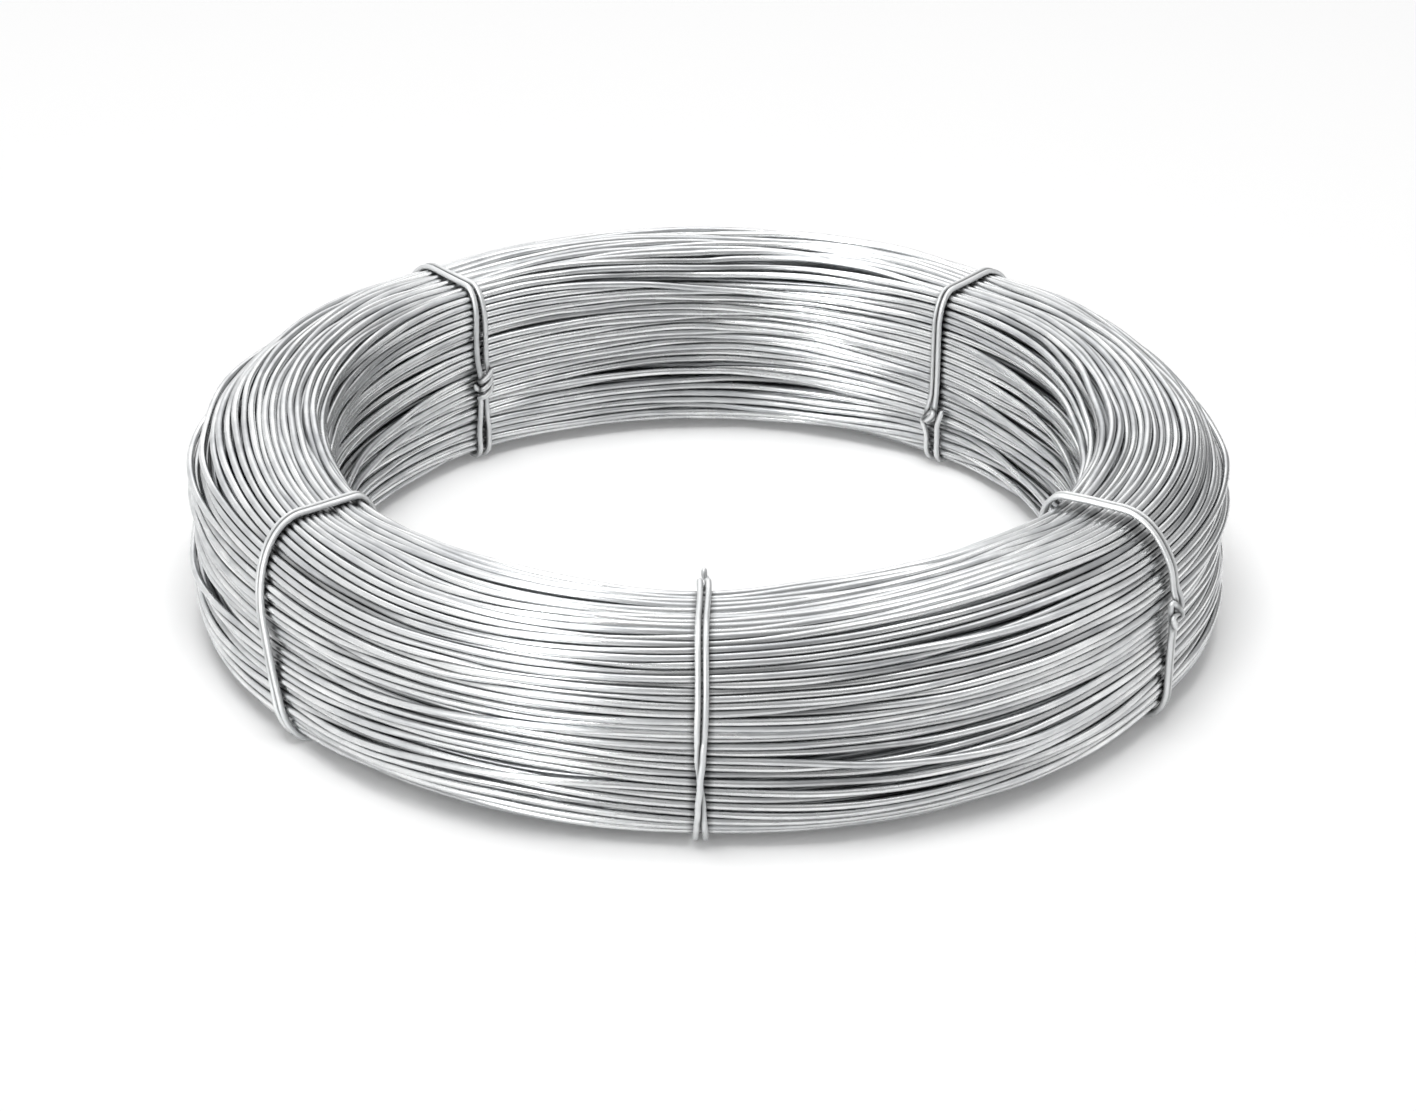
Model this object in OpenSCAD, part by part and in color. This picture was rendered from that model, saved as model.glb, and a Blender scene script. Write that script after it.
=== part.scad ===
// Coil of galvanised steel wire, lying flat and bound by five doubled wire ties.
// The wire is wound in a ring-shaped bundle. Its section is a rounded block with a
// high round outer shoulder and a shallow waist in the outer wall. The turns that
// show on the two ends, the outer wall and the bore are rings of the wire's own size.
// Each tie is one wire folded in two: its eye and its two ends meet at a knot, where
// the ends pass through the eye, fold back over it and are twisted together.
// The coil stands on the runs of the ties that pass under it. Sizes in millimetres.

/* [Coil] */
// Outside diameter over the wire, between the ties
coil_od = 450; // [320:1:700]
// Width of the wound bundle along the radius, from the bore to the outer wall
bundle_w = 58; // [45:1:110]
// Height over the wire, from the underside to the top
coil_h = 85; // [60:1:160]
// Diameter of the wound wire
wire_d = 3.15; // [2:0.05:5]
// How far neighbouring turns press into each other
turn_bite = 0.06; // [0.02:0.01:0.2]

/* [Section corners] */
// Top outer shoulder, measured along the radius
top_outer_w = 25; // [8:0.5:26]
// Top outer shoulder, measured down the wall
top_outer_h = 38; // [8:0.5:40]
// Top inner edge, measured along the radius
top_inner_w = 7; // [4:0.5:14]
// Top inner edge, measured down the bore
top_inner_h = 15; // [4:0.5:20]
// Bottom outer edge, measured along the radius
bottom_outer_w = 9; // [4:0.5:20]
// Bottom outer edge, measured up the wall
bottom_outer_h = 14; // [4:0.5:18]
// Bottom inner edge, along the radius and up the bore
bottom_inner = 6; // [4:0.5:14]

/* [Waist] */
// Depth of the waist in the outer wall
waist_depth = 2.4; // [0:0.1:5]
// Height of the waist, as a share of the coil's height
waist_level = 0.48; // [0.3:0.01:0.7]
// Half width of the waist, as a share of the coil's height
waist_reach = 0.22; // [0.1:0.01:0.4]

/* [Tie wire] */
// Diameter of the tie wire
tie_d = 2.5; // [1.6:0.1:4]
// Gap between the tie wire and the turns under it
tie_gap = 0.3; // [0.2:0.05:1]
// Spacing of the two strands, middle to middle
strand_pitch = 3; // [2.8:0.1:8]
// Spacing of the strands where they leave the knot, middle to middle
foot_pitch = 5; // [3:0.1:10]
// Length of the twisted ends
twist_run = 7; // [4:0.5:20]
// Turns in the twisted ends
twist_turns = 1; // [0.5:0.5:3]

/* [Tie bearings] */
// Front tie, from the front towards the right
front_bearing = -0.5; // [-15:0.5:15]
// Left tie
left_bearing = -53; // [-80:0.5:-35]
// Right tie
right_bearing = 58; // [35:0.5:80]
// Tie at the back left
back_left_bearing = -140; // [-160:0.5:-110]
// Tie at the back right
back_right_bearing = 140; // [110:0.5:160]

/* [Tie knots] */
// Front tie, from the middle of the top to its knot in the bore
front_knot = 27; // [20:1:70]
// Left tie, from the middle of the top to its knot in the bore
left_knot = 56; // [36:1:70]
// Right tie, from the middle of the top to its knot on the outer wall
right_knot = 58; // [30:1:75]
// Back left tie, from the middle of the top to its knot in the bore
back_left_knot = 62; // [36:1:80]
// Back right tie, from the middle of the top to its knot in the bore
back_right_knot = 76; // [36:1:80]

/* [Tie lean] */
// Sideways run of the left tie from the top of the coil to its underside
left_lean = 25; // [-40:1:40]
// Sideways run of the back right tie from the top of the coil to its underside
back_right_lean = 6; // [-40:1:40]

/* [Hidden] */
$fn = 96;
// Which node to draw
// The coil's underside stands above the floor by one tie wire and its gap
lift = tie_d + tie_gap;
// Diameter of the bore, and the middle radius of the bundle
bore_d = coil_od - 2 * bundle_w;
mid_r = (coil_od - bundle_w) / 2;
// Flat sides of a tie wire
tie_sides = 8;

// Quarter of an oval from angle a0, in n steps, moved outwards by off
function corner(cr, cz, w, h, a0, n, off) =
    [for (i = [0:n])
        let (a = a0 + 90 * i / n, out = [cos(a) / w, sin(a) / h])
        [cr + w * cos(a), cz + h * sin(a)] + off * out / norm(out)];

// Section outline moved outwards by off, from the head of the outer wall over the top,
// down the bore, under the coil and up to the foot of the outer wall
function outline(off, n) = concat(
    corner(coil_od / 2 - top_outer_w, coil_h - top_outer_h, top_outer_w, top_outer_h, 0, 2 * n, off),
    corner(bore_d / 2 + top_inner_w, coil_h - top_inner_h, top_inner_w, top_inner_h, 90, n, off),
    corner(bore_d / 2 + bottom_inner, bottom_inner, bottom_inner, bottom_inner, 180, n, off),
    corner(coil_od / 2 - bottom_outer_w, bottom_outer_h, bottom_outer_w, bottom_outer_h, 270, n, off));

// Running length at each point of a closed outline, and once round at the end
function run_lengths(p) =
    [for (i = 0, s = 0; i <= len(p);
          s = s + norm(p[(i + 1) % len(p)] - p[i % len(p)]), i = i + 1) s];

// Tables that give the radius and the height at a running length
function table_of(p, s, k) = [for (i = [0:len(p)]) [s[i], p[i % len(p)][k]]];

// Depth of the waist at a height, full on the outer wall and none in the bore
function dip(r, z) =
    let (x = (z / coil_h - waist_level) / waist_reach, side = max(0, (r - mid_r) / (bundle_w / 2)))
    abs(x) >= 1 ? 0 : side * waist_depth * (1 + cos(180 * x)) / 2;

// Centres of the turns that show, spaced evenly round the section
turn_path = outline(-wire_d / 2, 24);
turn_s = run_lengths(turn_path);
turn_len = turn_s[len(turn_path)];
turn_count = ceil(turn_len / (wire_d - turn_bite));
turn_r = table_of(turn_path, turn_s, 0);
turn_z = table_of(turn_path, turn_s, 1);
function turn_centre(i) =
    let (s = turn_len * (i - floor(i / turn_count) * turn_count) / turn_count,
         r = lookup(s, turn_r), z = lookup(s, turn_z))
    [r - dip(r, z), z];
// Which way a turn faces, square to the line through its neighbours
function turn_face(i) =
    let (along = turn_centre(i + 1) - turn_centre(i - 1)) atan2(-along[0], along[1]);
// The skin of the section: the outer half of each turn, a ridge with its crest on the outline
ridges = [for (i = [0:turn_count - 1]) for (a = [-70, -36, 0, 36, 70])
    turn_centre(i) + wire_d / 2 * [cos(turn_face(i) + a), sin(turn_face(i) + a)]];

// Centre line of a taut strand of a tie, round the section
tie_path = outline(tie_gap + tie_d / 2, 6);
tie_s = run_lengths(tie_path);
tie_len = tie_s[len(tie_path)];
tie_r = table_of(tie_path, tie_s, 0);
tie_z = table_of(tie_path, tie_s, 1);
// Running length at the middle of the top
top_mid = (tie_s[12] + tie_s[13]) / 2;

function wrap(u) = u - tie_len * floor(u / tie_len);
function unit(v) = v / norm(v);
function rim(u) = [lookup(wrap(u), tie_r), lookup(wrap(u), tie_z)];

// Point of a tie at running length u, height n off the strand and sideways distance t
function tie_point(u, n, t, lean) =
    let (dir = unit(rim(u + 0.4) - rim(u - 0.4)), q = rim(u) + n * [dir[1], -dir[0]],
         turn = (t + lean * (0.5 - q[1] / coil_h)) / q[0] * 180 / PI)
    [q[0] * cos(turn), q[0] * sin(turn), q[1] + lift];

// Point of the twisted ends: they stand straight on from the knot, distance v along it
function tail_point(knot_at, way, v, n, t, lean) =
    let (dir = unit(rim(knot_at + 0.4) - rim(knot_at - 0.4)),
         q = rim(knot_at) + way * v * dir + n * [dir[1], -dir[0]],
         turn = (t + lean * (0.5 - q[1] / coil_h)) / q[0] * 180 / PI)
    [q[0] * cos(turn), q[0] * sin(turn), q[1] + lift];

// Sizes of the knot from the tie wire: half width of the eye, height of the eye over
// the strands, half spacing of the ends, run over which the strands open into the eye
eye_half = 1.8 * tie_d;
eye_up = 1.15 * tie_d;
pair_half = 0.55 * tie_d;
eye_run = 9 * tie_d;
// Distances from the knot where the ends come out from under the eye, where they stand
// a foot's width apart, where they lie as the strands do, and where the eye begins and
// ends to open
under_eye = 2.5 * tie_d;
foot_at = 8 * tie_d;
strand_at = 28 * tie_d;
eye_close = tie_len - eye_half - 0.6 * tie_d;
eye_open = eye_close - eye_run;
// Steps of the wire along the twisted ends
twist_steps = 15;

function share(v, a, b) = min(1, max(0, (v - a) / (b - a)));
function ease(k) = (1 - cos(180 * k)) / 2;

// Half spacing of the strands at distance v from the knot
function strand_half(v) =
    v < foot_at ? pair_half + (foot_pitch / 2 - pair_half) * ease(share(v, under_eye, foot_at)) :
    v < eye_open ? (foot_pitch + (strand_pitch - foot_pitch) * share(v, foot_at, strand_at)) / 2 :
    strand_pitch / 2 + (eye_half - strand_pitch / 2) * ease(share(v, eye_open, eye_close));

// Height of the strands over their run at distance v from the knot: they rise into the eye
function strand_up(v) = eye_up * pow(share(v, eye_open, eye_close), 2);

// One end of the tie, from where it is cut to where it folds over the eye, as distance
// from the knot, height and sideways distance, on side s of the tie
function tail(s) = concat(
    [[twist_run + 1.5 * tie_d, 1.6 * tie_d, s * 1.35 * tie_d * cos(360 * twist_turns)]],
    [for (i = [twist_steps:-1:0])
        let (k = i / twist_steps, a = 360 * twist_turns * k)
        [0.5 * tie_d + twist_run * k, 2 * eye_up - 0.3 * tie_d * k + s * pair_half * sin(a),
         s * pair_half * cos(a)]],
    [for (a = [105:30:255]) [eye_up * cos(a), eye_up + eye_up * sin(a), s * pair_half]]);

// One half of the tie from under the eye, round the coil, to the side of the eye
function half_tie(s, rounds) = concat(
    [for (v = rounds) [v, strand_up(v), s * strand_half(v)]],
    [for (a = [90:-22.5:22.5]) [tie_len - eye_half + eye_half * cos(a), eye_up, s * eye_half * sin(a)]]);

function flipped(p) = [for (i = [len(p) - 1:-1:0]) p[i]];

// Round bar of the tie wire along a path
module bar(path) {
    n = len(path);
    m = tie_sides;
    dirs = [for (i = [0:n - 1]) unit(path[min(n - 1, i + 1)] - path[max(0, i - 1)])];
    side0 = unit(cross(dirs[0], [0.31, 0.83, 0.47]));
    sides = [for (i = 0, s = side0; i < n;
                  i = i + 1, s = i < n ? unit(s - (s * dirs[i]) * dirs[i]) : s) s];
    points = [for (i = [0:n - 1]) for (j = [0:m - 1])
        path[i] + tie_d / 2 * (sides[i] * cos(360 * j / m) + cross(dirs[i], sides[i]) * sin(360 * j / m))];
    skin = [for (i = [0:n - 2]) for (j = [0:m - 1])
        let (a = i * m + j, b = i * m + (j + 1) % m)
        each [[a, a + m, b], [b, a + m, b + m]]];
    caps = [[for (j = [0:m - 1]) j], [for (j = [m - 1:-1:0]) (n - 1) * m + j]];
    polyhedron(points = points, faces = concat(skin, caps), convexity = 10);
}

// One tie: way is 1 where the twisted ends lie towards growing running length
module tie(bearing, knot_at, way, lean = 0) {
    start = 0.5 * tie_d;
    stops = [start, under_eye, (under_eye + foot_at) / 2, foot_at, eye_open,
             eye_open + eye_run / 3, eye_open + eye_run * 2 / 3, eye_close];
    bends = [for (s = tie_s) wrap(way * (s - knot_at))];
    rounds = thinned(in_order(concat(stops, [for (v = bends) if (v > start && v < eye_close) v])));
    crown = [[tie_len, eye_up, 0]];
    strands = concat(half_tie(1, rounds), crown, flipped(half_tie(-1, rounds)));
    wire = concat(
        [for (q = tail(1)) tail_point(knot_at, way, q[0], q[1], q[2], lean)],
        [for (q = strands) tie_point(knot_at + way * q[0], q[1], q[2], lean)],
        [for (q = flipped(tail(-1))) tail_point(knot_at, way, q[0], q[1], q[2], lean)]);
    rotate([0, 0, bearing - 90]) bar(wire);
}

// Numbers from small to large
function in_order(p) = len(p) <= 1 ? p :
    let (k = p[floor(len(p) / 2)])
    concat(in_order([for (x = p) if (x < k) x]), [for (x = p) if (x == k) x],
           in_order([for (x = p) if (x > k) x]));

// The same without numbers that lie too near the one before
function thinned(p) = [for (i = [0:len(p) - 1]) if (i == 0 || p[i] - p[i - 1] > tie_d / 8) p[i]];

// The wound wire: a turned ring whose skin is the turns that show
module wire_coil() {
    color([0.76, 0.77, 0.78])
        translate([0, 0, lift])
            rotate_extrude(convexity = 10) polygon(ridges);
}

// Tie at the front, knotted in the bore with its twisted ends up
module tie_front() {
    color([0.70, 0.71, 0.72]) tie(front_bearing, top_mid + front_knot, -1);
}

// Tie at the left, leaning, knotted in the bore
module tie_left() {
    color([0.70, 0.71, 0.72]) tie(left_bearing, top_mid + left_knot, 1, left_lean);
}

// Tie at the right, knotted on the outer wall
module tie_right() {
    color([0.70, 0.71, 0.72]) tie(right_bearing, top_mid - right_knot, -1);
}

// Tie at the back left, knotted in the bore
module tie_back_left() {
    color([0.70, 0.71, 0.72]) tie(back_left_bearing, top_mid + back_left_knot, 1);
}

// Tie at the back right, leaning, knotted in the bore
module tie_back_right() {
    color([0.70, 0.71, 0.72]) tie(back_right_bearing, top_mid + back_right_knot, 1, back_right_lean);
}

wire_coil();
tie_front();
tie_left();
tie_right();
tie_back_left();
tie_back_right();
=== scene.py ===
"""Coil of galvanised wire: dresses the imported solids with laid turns, doubled wire ties and a studio.

The turned solid is replaced by the turns themselves. They lie packed and even under each tie and loose
between the ties, where neighbours part, close up and ride over each other, as wire does in a bound coil.
Lengths are in millimetres until a mesh is made, and bearings are in degrees from the front to the right.
"""

from __future__ import annotations

import logging
import math
from dataclasses import dataclass, field
from enum import Enum
from typing import Any

import bmesh
import bpy
import numpy as np
from mathutils import Matrix, Vector

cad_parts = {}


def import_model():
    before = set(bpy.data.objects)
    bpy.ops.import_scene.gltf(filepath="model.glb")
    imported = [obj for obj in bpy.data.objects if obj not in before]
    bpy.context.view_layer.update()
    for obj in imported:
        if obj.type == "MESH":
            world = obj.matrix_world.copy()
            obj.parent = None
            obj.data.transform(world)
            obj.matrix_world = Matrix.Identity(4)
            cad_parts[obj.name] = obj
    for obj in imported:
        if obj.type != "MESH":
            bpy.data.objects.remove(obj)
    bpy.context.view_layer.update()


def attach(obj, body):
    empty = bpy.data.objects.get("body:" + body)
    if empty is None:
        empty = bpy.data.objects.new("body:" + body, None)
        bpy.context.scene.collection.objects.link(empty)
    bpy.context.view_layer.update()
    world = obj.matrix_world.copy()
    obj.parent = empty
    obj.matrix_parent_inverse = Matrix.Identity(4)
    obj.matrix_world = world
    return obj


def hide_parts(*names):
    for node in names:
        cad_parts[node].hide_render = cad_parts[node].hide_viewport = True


LOG = logging.getLogger("coil")
# metres in a millimetre
MM = 0.001
# corners of a mesh that are nearer than this, in millimetres, are one corner
WELD = 0.001
# least length that anything is divided by
TINY = 1e-6
# width of the photograph in pixels
IMAGE_WIDTH = 1416


def to_linear(code: str) -> tuple[float, float, float, float]:
    """Turn an sRGB hex colour into linear red, green, blue and alpha.

    Args:
        code: six hex digits with a leading hash.

    Returns:
        The linear colour with alpha 1.
    """
    parts = [int(code[i : i + 2], 16) / 255 for i in (1, 3, 5)]
    flat = [p / 12.92 if p <= 0.04045 else ((p + 0.055) / 1.055) ** 2.4 for p in parts]
    return flat[0], flat[1], flat[2], 1.0


def add_node(
    tree: bpy.types.NodeTree,
    kind: str,
    settings: dict[str | int, Any] | None = None,
    links: dict[str | int, bpy.types.NodeSocket] | None = None,
) -> bpy.types.Node:
    """Add a shader node, set its values and link its inputs.

    Args:
        tree: the material's or world's node tree.
        kind: Blender's name for the node.
        settings: values by name: a property of the node, or else an input socket by name or place.
        links: for each input socket, by name or place, the output that feeds it.

    Returns:
        The new node.
    """
    node = tree.nodes.new(kind)
    for key, value in (settings or {}).items():
        if isinstance(key, str) and hasattr(node, key):
            setattr(node, key, value)
        else:
            node.inputs[key].default_value = value
    for key, source in (links or {}).items():
        tree.links.new(source, node.inputs[key])
    return node


class Wall(Enum):
    """Face of the coil that a tie's knot lies on."""

    BORE = 1
    OUTER = -1


class Zone(Enum):
    """Part of the coil's skin that a group of turns belongs to."""

    OUTER = "turns_outer_wall"
    SHOULDER = "turns_shoulder"
    TOP = "turns_top"
    BORE = "turns_bore"
    UNDERSIDE = "turns_underside"


@dataclass(frozen=True)
class Rim:
    """Closed line round the section, with its outward direction at each point.

    Attributes:
        run: running length at each point, once round at the end.
        points: radius and height at each point.
        out: outward direction at each point.
    """

    run: np.ndarray
    points: np.ndarray
    out: np.ndarray

    @property
    def length(self) -> float:
        """Length once round."""
        return float(self.run[-1])

    def at(self, run: np.ndarray) -> np.ndarray:
        """Radius and height at running lengths.

        Args:
            run: running lengths of any shape.

        Returns:
            An array of the same shape with a last axis of two.
        """
        place = np.mod(run, self.length)
        return np.stack([np.interp(place, self.run, self.points[:, k]) for k in (0, 1)], axis=-1)

    def outward(self, run: np.ndarray) -> np.ndarray:
        """Unit outward directions at running lengths.

        Args:
            run: running lengths of any shape.

        Returns:
            An array of the same shape with a last axis of two.
        """
        place = np.mod(run, self.length)
        both = np.stack([np.interp(place, self.run, self.out[:, k]) for k in (0, 1)], axis=-1)
        return both / np.linalg.norm(both, axis=-1, keepdims=True)


@dataclass(frozen=True)
class Section:
    """Cut through the bundle of turns, from the coil's axis and its underside.

    Each corner is a quarter of an oval, given along the radius and along the height.

    Attributes:
        outer_radius: radius of the outer wall.
        bore_radius: radius of the bore.
        height: height of the bundle.
        lift: height of its underside over the floor, on the ties that pass under it.
        wire: diameter of the wound wire.
        shoulder: corner from the outer wall to the top.
        lip: corner from the top to the bore.
        toe: corner from the bore to the underside.
        heel: corner from the underside to the outer wall.
        waist_depth: how far the outer wall is drawn in at its waist.
        waist_level: height of the waist, as a share of the bundle's height.
        waist_reach: half the height of the waist, as a share of the bundle's height.
    """

    outer_radius: float = 225.0
    bore_radius: float = 167.0
    height: float = 85.0
    lift: float = 2.8
    wire: float = 3.15
    shoulder: tuple[float, float] = (25.0, 38.0)
    lip: tuple[float, float] = (7.0, 15.0)
    toe: tuple[float, float] = (6.0, 6.0)
    heel: tuple[float, float] = (9.0, 14.0)
    waist_depth: float = 2.4
    waist_level: float = 0.48
    waist_reach: float = 0.22

    def rim(self, off: float, steps: int = 28) -> Rim:
        """Line round the section at a distance outside its outline.

        Args:
            off: distance outside the outline; negative lies inside.
            steps: steps in each corner.

        Returns:
            The closed line, from the head of the outer wall over the top and down the bore.
        """
        corners = (
            (self.outer_radius - self.shoulder[0], self.height - self.shoulder[1], self.shoulder, 0),
            (self.bore_radius + self.lip[0], self.height - self.lip[1], self.lip, 90),
            (self.bore_radius + self.toe[0], self.toe[1], self.toe, 180),
            (self.outer_radius - self.heel[0], self.heel[1], self.heel, 270),
        )
        points, out = [], []
        for radius, level, (wide, high), start in corners:
            turn = np.radians(start + np.linspace(0, 90, steps + 1))
            away = np.stack([np.cos(turn) / wide, np.sin(turn) / high], axis=1)
            away /= np.linalg.norm(away, axis=1, keepdims=True)
            place = np.stack([radius + wide * np.cos(turn), level + high * np.sin(turn)], axis=1)
            points.append(place + off * away)
            out.append(away)
        line = np.concatenate(points + [points[0][:1]])
        away = np.concatenate(out + [out[0][:1]])
        run = np.concatenate([[0.0], np.cumsum(np.linalg.norm(np.diff(line, axis=0), axis=1))])
        return Rim(run, line, away)

    def waisted(self, place: np.ndarray) -> np.ndarray:
        """Draw points of the outer wall in at the waist.

        Args:
            place: radius and height on the last axis.

        Returns:
            The points with the waist taken off their radius.
        """
        middle = (self.outer_radius + self.bore_radius) / 2
        half = (self.outer_radius - self.bore_radius) / 2
        near = np.clip(np.abs(place[..., 1] / self.height - self.waist_level) / self.waist_reach, 0, 1)
        side = np.clip((place[..., 0] - middle) / half, 0, 1)
        drawn = place.copy()
        drawn[..., 0] -= side * self.waist_depth * (1 + np.cos(np.pi * near)) / 2
        return drawn


Route = tuple[tuple[float, float, float], ...]
TIE_WIRE = 2.5
# half the spacing of the strands where they come to a twist
STRAND_HALF = 1.7
# half the spacing of two twisted ends, a little over half the wire so that they stay clear
TWIST_HALF = 0.52 * TIE_WIRE
# radius of the fold by which an end turns back over the eye, and where the fold begins
FOLD_RADIUS = 1.15 * TIE_WIRE
FOLD_START = 1.2
# how far a twist comes down along its length, and the tip past it
TWIST_DROP = 1.2
TIP_DROP = 0.3
# how far the second end stands out past the twist
SHORT_TIP = 1.2


def twisted(run: float, turns: float, point: float, short: float = 1.0) -> tuple[Route, Route]:
    """Ends that fold back over the eye and are twisted together.

    Args:
        run: length of the twist.
        turns: turns of the twist.
        point: how far the first end stands out past the twist.
        short: share of the twist at which the second end is cut off.

    Returns:
        The routes of both ends from the strand to the cut, as distance from the knot, height and
        sideways place.
    """
    routes = []
    for side, share, tip in ((1, 1.0, point), (-1, short, SHORT_TIP)):
        half = side * TWIST_HALF
        points = [(12.0, 0.0, side * STRAND_HALF), (6.0, 0.0, half), (FOLD_START, 0.0, half)]
        for turn in np.radians(np.arange(255, 104, -30)):
            points.append((FOLD_RADIUS * math.cos(turn), FOLD_RADIUS * (1 + math.sin(turn)), half))
        for k in np.linspace(0, share, 13):
            turn = 2 * math.pi * turns * k
            points.append((FOLD_START + run * k, 2 * FOLD_RADIUS - TWIST_DROP * k + half * math.sin(turn),
                           half * math.cos(turn)))
        ahead, up, aside = points[-1]
        points.append((ahead + tip, up - TIP_DROP, aside))
        routes.append(tuple(points))
    return routes[0], routes[1]


@dataclass(frozen=True)
class TiePlan:
    """Where a tie stands and how it runs.

    Attributes:
        name: the solid that it stands for.
        bearing: its place round the coil.
        lean: sideways run from the top of the coil to its underside.
        wall: face that the knot lies on.
        knot: distance along the tie from the middle of the top to the knot.
        ends: routes of both ends from the strand to the cut, as distance from the knot along the tie,
            height over the strands and sideways place.
        spread: half the spacing of the strands at distances from the knot; a distance below zero is
            counted back from the eye, and a spacing below zero means that the strands have crossed.
        stand: height of the strands over the turns at distances from the knot, counted the same way.
        eye: half width of the eye.
        ends_up: whether the ends point up the wall.
    """

    name: str
    bearing: float
    lean: float
    wall: Wall
    knot: float
    ends: tuple[Route, Route]
    spread: tuple[tuple[float, float], ...]
    stand: tuple[tuple[float, float], ...] = ((0.0, 0.0),)
    eye: float = 2.6
    ends_up: bool = False


# both ends bent over and back, the second one across the first
FOLDED_ENDS = (
    ((9.0, 0.0, 1.3), (4.0, 0.4, 1.5), (0.6, 1.6, 0.6), (-1.0, 2.8, -1.4), (-1.2, 2.6, -3.8),
     (0.4, 2.2, -5.0), (3.0, 2.4, -4.2), (5.6, 2.7, -2.6)),
    ((9.0, 0.0, -1.3), (3.0, 0.7, -3.0), (-3.4, 0.9, -4.8), (-6.6, 1.4, -5.4), (-7.0, 2.3, -4.6),
     (-3.6, 3.2, -1.9), (-0.2, 3.5, 0.9), (1.4, 3.1, 1.3), (2.1, 2.4, 0.2), (3.0, 1.9, -2.2)),
)
# one end wrapped three times round the strands, the other pushed out to the side
WRAPPED_ENDS = (
    ((9.0, 0.0, 1.5), (7.0, 0.3, 2.4), (6.2, 1.6, 3.3), (5.2, 3.6, 2.4), (3.3, 4.6, 0.0), (1.4, 3.6, -2.4),
     (0.6, 1.8, -3.3), (1.0, 0.5, -1.5), (1.5, 0.5, 1.5), (1.8, 1.8, 3.3), (1.0, 3.6, 2.4), (-0.9, 4.6, 0.0),
     (-2.8, 3.6, -2.4), (-3.6, 1.8, -3.3), (-3.1, 0.5, -1.5), (-2.6, 0.5, 1.5), (-2.4, 1.8, 3.3),
     (-3.2, 3.6, 2.4), (-5.1, 4.6, 0.2), (-6.8, 3.9, -2.2), (-7.6, 2.9, -3.4)),
    ((9.0, 0.0, -1.5), (6.0, 0.4, -1.3), (3.6, 1.0, 0.8), (1.8, 1.6, 3.4), (0.2, 1.8, 5.4), (-1.6, 2.0, 6.4)),
)
# both ends bent to a closed arrowhead
ARROW_ENDS = (
    ((10.0, 0.0, 3.1), (6.0, 0.2, 4.2), (3.4, 0.6, 5.5), (1.3, 1.4, 4.7), (-2.5, 2.4, 1.0), (-4.8, 2.6, -1.6),
     (-4.4, 3.3, -2.7), (-2.7, 3.7, -2.0), (0.0, 3.5, 0.6), (1.2, 3.0, 2.6)),
    ((10.0, 0.0, -3.1), (4.0, 0.8, -3.3), (0.4, 1.5, -4.3), (-6.2, 1.7, -6.6)),
)
TIE_PLANS = (
    TiePlan(
        "tie_front", bearing=-0.5, lean=0.0, wall=Wall.BORE, knot=27.0,
        ends=twisted(run=7.0, turns=1.25, point=4.6, short=0.35),
        spread=((0, STRAND_HALF), (12, STRAND_HALF), (30, 1.5), (86, 1.5), (100, 1.0), (111, 0.0),
                (122, -1.0), (140, -2.0), (170, -1.7), (-20, -1.7)),
        ends_up=True,
    ),
    TiePlan(
        "tie_left", bearing=-53.0, lean=25.0, wall=Wall.BORE, knot=56.0,
        ends=twisted(run=8.0, turns=1.5, point=1.5),
        spread=((0, STRAND_HALF), (20, 1.6), (60, 1.9), (96, 2.9), (112, 2.3), (136, 1.3), (-60, 1.27),
                (-16, 1.5)),
    ),
    TiePlan(
        "tie_right", bearing=58.0, lean=0.0, wall=Wall.OUTER, knot=63.0, ends=FOLDED_ENDS,
        spread=((0, 1.3), (30, 1.28), (150, 1.5), (-96, 1.42), (-36, 1.42), (-10, 1.4)),
        stand=((0, 0.0), (-104, 0.3), (-84, 2.2), (-62, 3.3), (-45, 3.6), (-22, 2.6), (-8, 1.0), (-1, 0.4)),
    ),
    TiePlan(
        "tie_back_left", bearing=-139.5, lean=-1.5, wall=Wall.BORE, knot=65.0, ends=WRAPPED_ENDS,
        spread=((0, 1.4), (12, 1.8), (26, 2.8), (50, 1.6), (-80, 1.35), (-52, 1.9), (-22, 2.7), (-8, 2.5)),
        eye=2.4,
    ),
    TiePlan(
        "tie_back_right", bearing=140.0, lean=1.0, wall=Wall.BORE, knot=81.0, ends=ARROW_ENDS,
        spread=((0, 3.1), (8, 3.3), (16, 3.0), (28, 2.2), (60, 1.5), (-80, 1.28), (-14, 1.3)),
        eye=2.2,
    ),
)


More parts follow.
